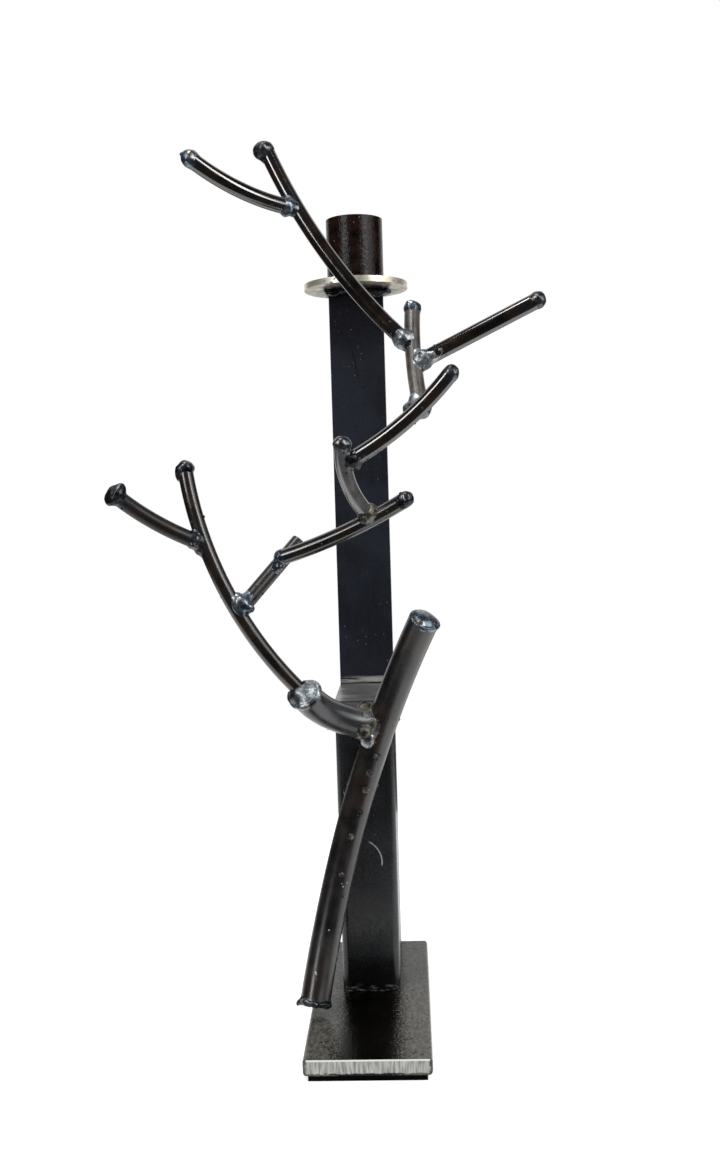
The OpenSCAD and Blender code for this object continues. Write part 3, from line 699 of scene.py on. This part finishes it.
# Each weld: how it froze, its size against the plain solid, how lumpy it is in millimetres,
# and how far it flowed out, in smoothing steps
WELDS = {
    "washer_weld": (DARK_WELD, 1.0, 0.7, 3),
    "socket_weld": (DARK_WELD, 1.0, 0.25, 2),
    "plug_welds": (DARK_WELD, 1.0, 0.1, 1),
    "seam_welds": (DARK_WELD, 0.97, 0.1, 1),
    "trunk_weld": (DARK_WELD, 1.0, 0.4, 6),
    "trunk_foot_bead": (DARK_WELD, 0.98, 0.9, 3),
    "trunk_top_cap": (BLUE_WELD, 0.93, 0.3, 8),
    "fork_stub_weld": (SCORCHED_WELD, 0.86, 0.8, 24),
    "fork_stub_cap": (CAP_WELD, 0.96, 0.5, 6),
    "left_limb_weld": (DARK_WELD, 1.0, 0.3, 6),
    "left_limb_tip": (DARK_WELD, 0.95, 0.5, 8),
    "left_twig_weld": (DARK_WELD, 0.8, 0.5, 30),
    "left_twig_tip": (DARK_WELD, 1.0, 0.7, 6),
    "inner_short_rod_weld": (BLUE_WELD, 0.95, 0.3, 14),
    "inner_long_rod_weld": (BLUE_WELD, 0.78, 0.3, 20),
    "inner_long_rod_tip": (DARK_WELD, 0.88, 0.6, 8),
    "curved_twig_weld": (SCORCHED_WELD, 0.84, 0.6, 26),
    "curved_twig_tip": (DARK_WELD, 0.93, 0.4, 8),
    "upper_rod_weld": (DARK_WELD, 0.78, 0.6, 20),
    "upper_rod_tip": (DARK_WELD, 0.86, 0.4, 12),
    "upright_twig_weld": (BRIGHT_WELD, 0.85, 0.3, 30),
    "upright_twig_tip": (BLUE_WELD, 0.93, 0.5, 8),
    "right_twig_weld": (BRIGHT_WELD, 0.78, 0.6, 26),
    "right_twig_tip": (DARK_WELD, 0.88, 0.4, 10),
    "top_rod_weld": (BRIGHT_WELD, 0.76, 0.5, 26),
    "top_rod_tip": (DARK_WELD, 1.02, 0.4, 6),
    "top_twig_weld": (BLUE_WELD, 0.8, 0.2, 36),
    "top_twig_tip": (BLUE_WELD, 0.9, 0.4, 8),
}

# Metal that ran into the corner of a joint: place from the middle of its weld and radius, in millimetres
RUNS = {
    "upright_twig_weld": [
        ((-1.6, -1.2, 3.6), 3.4),
        ((-2.2, -1.6, 0.6), 4.0),
        ((-4.8, -1.5, 0.4), 2.7),
        ((2.8, -1.4, 2.4), 2.5),
    ],
    "inner_long_rod_weld": [((-1.3, -0.9, -3.8), 2.3), ((0.5, 0.4, -1.7), 2.3)],
    "left_twig_weld": [((2.2, 1.3, -3.9), 2.6)],
    "top_twig_weld": [((-1.2, -1.8, -3.2), 1.8)],
    "right_twig_weld": [((3.2, -2.5, 1.2), 1.6), ((5.0, -2.6, 1.0), 1.2), ((6.6, -2.6, 2.6), 1.0)],
}

# Drips and bulges pulled out of the melted metal: place from its middle, reach and pull, in millimetres
PULLS = {
    "top_rod_tip": [((-1.5, 0, 0), 4.5, (-1.9, 0, -0.7))],
    "top_twig_tip": [((-3.6, 0, 1.8), 0.9, (-1.2, 0, 0.7))],
    "left_twig_tip": [((2.0, 0, 3.0), 2.6, (0.9, 0, 1.3)), ((-2.5, -1, -2.0), 3.0, (-0.9, 0, -0.9))],
    "left_limb_tip": [((-3.0, 0, -3.0), 2.4, (-0.9, 0, -1.2))],
    "inner_short_rod_weld": [((-1.0, -3.0, 0), 5.0, (-1.4, -1.6, 0.2))],
    "trunk_top_cap": [((6.5, 0, -2.0), 2.6, (0.8, 0, -0.2))],
    "washer_weld": [
        ((14, -4, -1), 4.0, (2.0, -1.0, -1.2)),
        ((-10, -6, -1), 3.5, (0, -2.0, -1.5)),
        ((9.5, -6, -2), 3.5, (0, -2.2, -2.2)),
    ],
    "trunk_foot_bead": [((-6.5, -2, 0), 3.0, (-1.0, 0, -0.6)), ((0, -6, -2), 5.0, (0, -0.5, -2.0))],
    "fork_stub_cap": [
        ((-5.0, 0, 1.5), 4.5, (-1.5, 0, 0.5)),
        ((-3.6, -4.6, 0.4), 1.5, (0.9, 1.3, -0.5)),
        ((0.6, -4.8, 2.2), 1.2, (0.6, 0.9, -0.4)),
        ((-1.2, -3.6, 4.4), 1.1, (0.5, 0.8, -0.5)),
    ],
}

# Skin of the melted metal: its fineness, how far it reaches past the weld, and how deep its edge sinks
SKIN_VOXEL = 0.45 * MM
SKIN_REACH = 2.4 * MM
SKIN_SINK = 0.35 * MM

# Lumps on the skin: width and share of the broad ones and of the ripples on them
BROAD_LUMP = 3.2 * MM
BROAD_SHARE = 0.8
RIPPLE = 1.2 * MM
RIPPLE_SHARE = 0.25


def mesh_tree(mesh):
    return BVHTree.FromPolygons([v.co for v in mesh.vertices], [p.vertices for p in mesh.polygons])


def cad_mesh(node):
    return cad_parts[node].data


def melt_pool(node, size):
    """The weld's plain solid at its size, and the metal that ran from it into the corners."""
    centre = middle(node)
    pool = bmesh.new()
    pool.from_mesh(cad_mesh(node))
    for vertex in pool.verts:
        vertex.co = centre + (vertex.co - centre) * size
    for place, radius in RUNS.get(node, ()):
        where = Matrix.Translation(centre + Vector(place) * MM)
        bmesh.ops.create_icosphere(pool, subdivisions=2, radius=radius * MM, matrix=where)
    return pool


def flowed_mesh(pool, rods, steps):
    """The pool and the rods under it run together into one skin, and smoothed as molten metal flows."""
    for rod in rods:
        pool.from_mesh(cad_mesh(rod))
    mesh = bpy.data.meshes.new("melt_pool")
    pool.to_mesh(mesh)
    pool.free()
    holder = bpy.data.objects.new("melt_pool", mesh)
    bpy.context.collection.objects.link(holder)
    skin = holder.modifiers.new("skin", "REMESH")
    skin.mode = "VOXEL"
    skin.voxel_size = SKIN_VOXEL
    flow = holder.modifiers.new("flow", "SMOOTH")
    flow.iterations = steps
    evaluated = holder.evaluated_get(bpy.context.evaluated_depsgraph_get())
    flowed = bpy.data.meshes.new_from_object(evaluated)
    bpy.data.objects.remove(holder)
    return flowed


def lumpy(point):
    """Height of the lumps at a point, for metal that is one millimetre lumpy."""
    broad = noise.noise(point / BROAD_LUMP)
    ripple = noise.noise(point / RIPPLE)
    return (BROAD_SHARE * broad + RIPPLE_SHARE * ripple) * MM


def pulled(point, centre, pulls):
    for place, reach, pull in pulls:
        away = (point - centre - Vector(place) * MM).length / (reach * MM)
        point = point + Vector(pull) * MM * math.exp(-away * away)
    return point


def new_piece(name, mesh, finish):
    """Weld metal made into a piece of its own, on the one body."""
    mesh.name = name
    mesh.shade_smooth()
    mesh.materials.clear()
    mesh.materials.append(finish)
    piece = bpy.data.objects.new(name, mesh)
    bpy.context.collection.objects.link(piece)
    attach(piece, "root")
    return piece


def melted_weld(node, finish, size, lump, steps):
    """Weld metal in place of its plain solid: lumpy, with a thin edge that sinks into the rods."""
    rods = [rod for rod, joints in ROD_JOINTS.items() if node in joints]
    pool = melt_pool(node, size)
    weld_tree = BVHTree.FromBMesh(pool)
    mesh = flowed_mesh(pool, rods, steps)
    centre = middle(node)
    skin = bmesh.new()
    skin.from_mesh(mesh)
    away = {v: weld_tree.find_nearest(v.co)[3] for v in skin.verts}
    bmesh.ops.delete(skin, geom=[v for v in skin.verts if away[v] > SKIN_REACH], context="VERTS")
    bmesh.ops.holes_fill(skin, edges=[e for e in skin.edges if e.is_boundary], sides=0)
    skin.normal_update()
    for vertex in skin.verts:
        edge = min(1.0, away[vertex] / SKIN_REACH)
        raised = lump * lumpy(vertex.co) * (1 - edge) - SKIN_SINK * edge * edge
        vertex.co = pulled(vertex.co + vertex.normal * raised, centre, PULLS.get(node, ()))
    skin.to_mesh(mesh)
    skin.free()
    piece = new_piece(node + "_metal", mesh, finish)
    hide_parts(node)


# Frozen drops: how oval they are, how close the swellings on them lie, and how far spatter swells
DROP_OVAL = 1.12
SWELLING_PACE = 1.7
SPATTER_SWELLING = 0.45


def add_drop(drops, place, normal, radius, height, swelling):
    """A lump of frozen metal, half sunk in the surface under it."""
    turned = normal.to_track_quat("Z", "Y").to_matrix().to_4x4()
    shape = Matrix.Translation(place) @ turned @ Matrix.Diagonal((radius, radius * DROP_OVAL, height, 1))
    made = bmesh.ops.create_icosphere(drops, subdivisions=3, radius=1.0)
    for vertex in made["verts"]:
        swell = 1 + swelling * noise.noise(vertex.co * SWELLING_PACE + place / MM)
        vertex.co = shape @ (vertex.co * swell)


def drops_piece(name, drops, finish):
    mesh = bpy.data.meshes.new(name)
    drops.to_mesh(mesh)
    drops.free()
    new_piece(name, mesh, finish)


# Spatter on the front of the trunk: place across, height and radius, in millimetres
TRUNK_SPATTER = [
    (5.6, 116.8, 1.4),
    (2.4, 109.6, 1.6),
    (1.0, 102.2, 1.7),
    (-2.0, 92.3, 1.5),
    (-6.8, 82.4, 1.4),
    (-11.2, 66.5, 1.2),
    (-11.9, 57.5, 0.9),
    (-13.2, 50.0, 0.7),
    (-15.1, 42.0, 0.6),
    (-16.7, 31.6, 0.6),
    (16.8, 155.0, 1.2),
    (17.0, 148.6, 1.0),
]
# How high spatter stands, as a share of its radius
SPATTER_RISE = 0.7

# Drop of weld metal under the joint of the fork stub: place across, height and radius, in millimetres
STUB_DROP = (2.0, 124.9, 3.7)
STUB_DROP_RISE = 0.75
STUB_DROP_SWELLING = 0.15

# Depth of the trunk's front near its weld to the post, in millimetres
TRUNK_FRONT = -11


def trunk_drops(name, spots, finish, rise, swelling):
    """Drops on the trunk, each at the place on it that is nearest to its spot."""
    tree = mesh_tree(cad_mesh("trunk"))
    drops = bmesh.new()
    for across, height, radius in spots:
        place, normal, _, _ = tree.find_nearest(Vector((across, TRUNK_FRONT, height)) * MM)
        add_drop(drops, place, normal, radius * MM, radius * rise * MM, swelling)
    drops_piece(name, drops, finish)


# Beads thrown out of a joint: the rod they froze on, the weld, how many, and their flight in millimetres
JOINT_BEADS = [
    ("right_twig", "right_twig_weld", 30, 9),
    ("inner_long_rod", "curved_twig_weld", 26, 10),
    ("inner_short_rod", "inner_short_rod_weld", 14, 7),
    ("left_limb", "inner_short_rod_weld", 10, 8),
    ("upper_rod", "upright_twig_weld", 20, 9),
    ("upper_rod", "upper_rod_weld", 12, 6),
    ("top_twig", "top_twig_weld", 12, 8),
    ("top_rod", "top_rod_weld", 18, 8),
    ("left_limb", "left_twig_weld", 10, 8),
    ("fork_stub", "fork_stub_weld", 26, 10),
    ("trunk", "fork_stub_weld", 40, 13),
    ("left_twig", "left_twig_tip", 10, 7),
]
# Seed and spread of the throw, and the smallest and largest bead in millimetres
BEAD_SEED = 7
BEAD_SPREAD = 0.7
BEAD_SMALLEST = 0.2
BEAD_LARGEST = 0.55
BEAD_RISE = 0.8


def joint_beads():
    dice = random.Random(BEAD_SEED)
    beads = bmesh.new()
    for rod, weld, count, flight in JOINT_BEADS:
        tree = mesh_tree(cad_mesh(rod))
        centre = middle(weld)
        for _ in range(count):
            way = Vector((dice.gauss(0, 1), dice.gauss(0, 1), dice.gauss(0, 1)))
            place, normal, _, _ = tree.find_nearest(centre + way * flight * MM * BEAD_SPREAD)
            radius = dice.uniform(BEAD_SMALLEST, BEAD_LARGEST) * MM
            add_drop(beads, place, normal, radius, radius * BEAD_RISE, SPATTER_SWELLING)
    drops_piece("joint_beads", beads, SPATTER)


def dress(node, finish):
    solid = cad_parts[node]
    if not solid.material_slots:
        solid.data.materials.append(finish)
    for slot in solid.material_slots:
        slot.material = finish


# Scale colour, worn colour, roughness, and the refractive index that sets the gloss
POST_LOOK = ((0.0065, 0.0072, 0.0083), (0.019, 0.02, 0.022), 0.27, 1.42)
BAR_LOOK = ((0.007, 0.0083, 0.0128), (0.0128, 0.0146, 0.021), 0.3, 1.33)
POST_MARKS = (foot_shade_and_streaks, arc_scratch)
BAR_MARKS = (bar_scratch, washer_smut, grinder_marks)


def dress_posts():
    dress("base_pad", pad_finish())
    dress("base_plate", base_finish())
    dress("lower_post", rolled_finish("post_scale", *POST_LOOK, POST_MARKS))
    dress("post_cap", ground_finish())
    dress("tall_bar", rolled_finish("bar_scale", *BAR_LOOK, BAR_MARKS))
    dress("drip_washer", washer_finish())
    dress("candle_socket", socket_finish())


# Each rod: scale colour, worn colour, roughness, refractive index, and share of its temper colours
ROD_LOOKS = {
    "trunk": ((0.0014, 0.0012, 0.0012), (0.01, 0.0076, 0.007), 0.3, 1.6, 0.9),
    "fork_stub": ((0.013, 0.0148, 0.017), (0.034, 0.038, 0.043), 0.3, 1.6, 0.25),
    "left_limb": ((0.002, 0.0014, 0.0011), (0.012, 0.0076, 0.005), 0.23, 1.66, 0.8),
    "left_twig": ((0.003, 0.0023, 0.0018), (0.011, 0.0076, 0.0054), 0.38, 1.42, 0.8),
    "inner_short_rod": ((0.012, 0.0107, 0.0098), (0.036, 0.032, 0.029), 0.3, 1.6, 0.6),
    "inner_long_rod": ((0.0014, 0.001, 0.001), (0.008, 0.0056, 0.0042), 0.19, 1.75, 0.8),
    "curved_twig": ((0.08, 0.08, 0.078), (0.175, 0.174, 0.171), 0.2, 2.0, 0.35),
    "upper_rod": ((0.001, 0.0008, 0.0008), (0.006, 0.0045, 0.0037), 0.12, 1.9, 0.9),
    "upright_twig": ((0.094, 0.081, 0.066), (0.21, 0.183, 0.153), 0.3, 1.8, 0.7),
    "right_twig": ((0.001, 0.0007, 0.0005), (0.009, 0.0056, 0.003), 0.12, 1.9, 0.8),
    "top_rod": ((0.0014, 0.001, 0.0008), (0.008, 0.005, 0.0032), 0.12, 1.9, 0.8),
    "top_twig": ((0.001, 0.0008, 0.0006), (0.005, 0.0033, 0.0024), 0.12, 1.9, 0.8),
}
ROD_MARKS = {"trunk": (painted_foot_glints,)}


def dress_rods():
    for rod, look in ROD_LOOKS.items():
        heat_points = [tuple(middle(joint)) for joint in ROD_JOINTS[rod]]
        dress(rod, rod_finish(rod + "_scale", *look, heat_points, ROD_MARKS.get(rod, ())))


def set_camera():
    yaw, pitch, roll = CAMERA_YAW, CAMERA_PITCH, CAMERA_ROLL
    flat = math.cos(pitch)
    ahead = Vector((-math.sin(yaw) * flat, math.cos(yaw) * flat, -math.sin(pitch)))
    level = Vector((math.cos(yaw), math.sin(yaw), 0))
    down = ahead.cross(level)
    right = math.cos(roll) * level + math.sin(roll) * down
    up = math.sin(roll) * level - math.cos(roll) * down
    turn = Matrix((right, up, -ahead)).transposed()
    camera = bpy.data.objects.new("camera", bpy.data.cameras.new("camera"))
    camera.data.sensor_fit = "VERTICAL"
    camera.data.sensor_height = CAMERA_SENSOR
    camera.data.lens = CAMERA_LENS
    camera.data.clip_start = CAMERA_NEAR
    camera.matrix_world = Matrix.Translation(CAMERA_PLACE) @ turn.to_4x4()
    bpy.context.collection.objects.link(camera)
    bpy.context.scene.camera = camera


def soft_light(name, place, aim, width, height, power):
    light = bpy.data.lights.new(name, "AREA")
    light.shape = "RECTANGLE"
    light.size = width
    light.size_y = height
    light.energy = power
    lamp = bpy.data.objects.new(name, light)
    lamp.location = place
    lamp.rotation_euler = (Vector(aim) - Vector(place)).to_track_quat("-Z", "Y").to_euler()
    lamp.visible_camera = False
    bpy.context.collection.objects.link(lamp)


def seen_directly(sheet):
    """1 for rays that show the background itself: straight, mirrored or through glass."""
    path = sheet.add("ShaderNodeLightPath").outputs
    shown = sheet.math("MAXIMUM", path["Is Camera Ray"], path["Is Glossy Ray"])
    return sheet.math("MAXIMUM", shown, path["Is Transmission Ray"])


def white_surroundings():
    world = bpy.data.worlds.new("white_surroundings")
    world.use_nodes = True
    bpy.context.scene.world = world
    sheet = Sheet(world.node_tree)
    background = world.node_tree.nodes["Background"].inputs
    background["Color"].default_value = WHITE
    seen = seen_directly(sheet)
    strength = sheet.ranged(seen, low=0.0, high=1.0, to_low=WORLD_LIGHT, to_high=WORLD_SEEN)
    sheet.feed(background["Strength"], strength)


def flat_panel(name, corners, finish):
    mesh = bpy.data.meshes.new(name)
    mesh.from_pydata(corners, [], [(0, 1, 2, 3)])
    mesh.materials.append(finish)
    panel = bpy.data.objects.new(name, mesh)
    bpy.context.collection.objects.link(panel)
    return panel


def level_corners(side, front, back, height):
    return [(-side, front, height), (side, front, height), (side, back, height), (-side, back, height)]


def upright_corners(start, end, low, high):
    """A wall between two places on the ground, each given as x and y."""
    return [(*start, low), (*end, low), (*end, high), (*start, high)]


def white_table():
    finish, sheet, shader = new_finish("white_table")
    shader["Base Color"].default_value = TABLE_WHITE
    shader["Roughness"].default_value = 0.9
    shader["Specular IOR Level"].default_value = 0.1
    shader["Emission Color"].default_value = WHITE
    sheet.feed(shader["Emission Strength"], sheet.times(seen_directly(sheet), TABLE_GLOW))
    flat_panel("white_table", level_corners(TABLE_SIDE, TABLE_FRONT, TABLE_BACK, 0), finish)


def dim_room():
    """The unlit room round the camera and the table, which only the steel's gloss shows."""
    finish, _, shader = new_finish("dim_room")
    shader["Base Color"].default_value = ROOM_GREY
    shader["Roughness"].default_value = 1.0
    shader["Specular IOR Level"].default_value = 0.0
    left_front, right_front = (-ROOM_SIDE, ROOM_FRONT), (ROOM_SIDE, ROOM_FRONT)
    left_back, right_back = (-ROOM_SIDE, ROOM_BACK), (ROOM_SIDE, ROOM_BACK)
    panels = {
        "dim_wall": upright_corners(left_front, right_front, ROOM_FLOOR, ROOM_CEILING),
        "dim_ceiling": level_corners(ROOM_SIDE, ROOM_FRONT, ROOM_CEILING_BACK, ROOM_CEILING),
        "dim_floor": level_corners(ROOM_SIDE, ROOM_FRONT, ROOM_BACK, ROOM_FLOOR),
        "dim_left": upright_corners(left_front, left_back, ROOM_FLOOR, ROOM_CEILING),
        "dim_right": upright_corners(right_front, right_back, ROOM_FLOOR, ROOM_CEILING),
    }
    for name, corners in panels.items():
        panel = flat_panel(name, corners, finish)
        panel.visible_camera = False
        panel.visible_diffuse = False
        panel.visible_shadow = False


set_camera()
white_surroundings()
white_table()
dim_room()
for lamp_name, lamp in LAMPS.items():
    soft_light(lamp_name, *lamp)
dress_posts()
dress_rods()
for weld, frozen in WELDS.items():
    melted_weld(weld, *frozen)
trunk_drops("trunk_spatter", TRUNK_SPATTER, SPATTER, SPATTER_RISE, SPATTER_SWELLING)
trunk_drops("stub_weld_drop", [STUB_DROP], CAP_WELD, STUB_DROP_RISE, STUB_DROP_SWELLING)
joint_beads()

bpy.context.scene.view_settings.view_transform = "Standard"
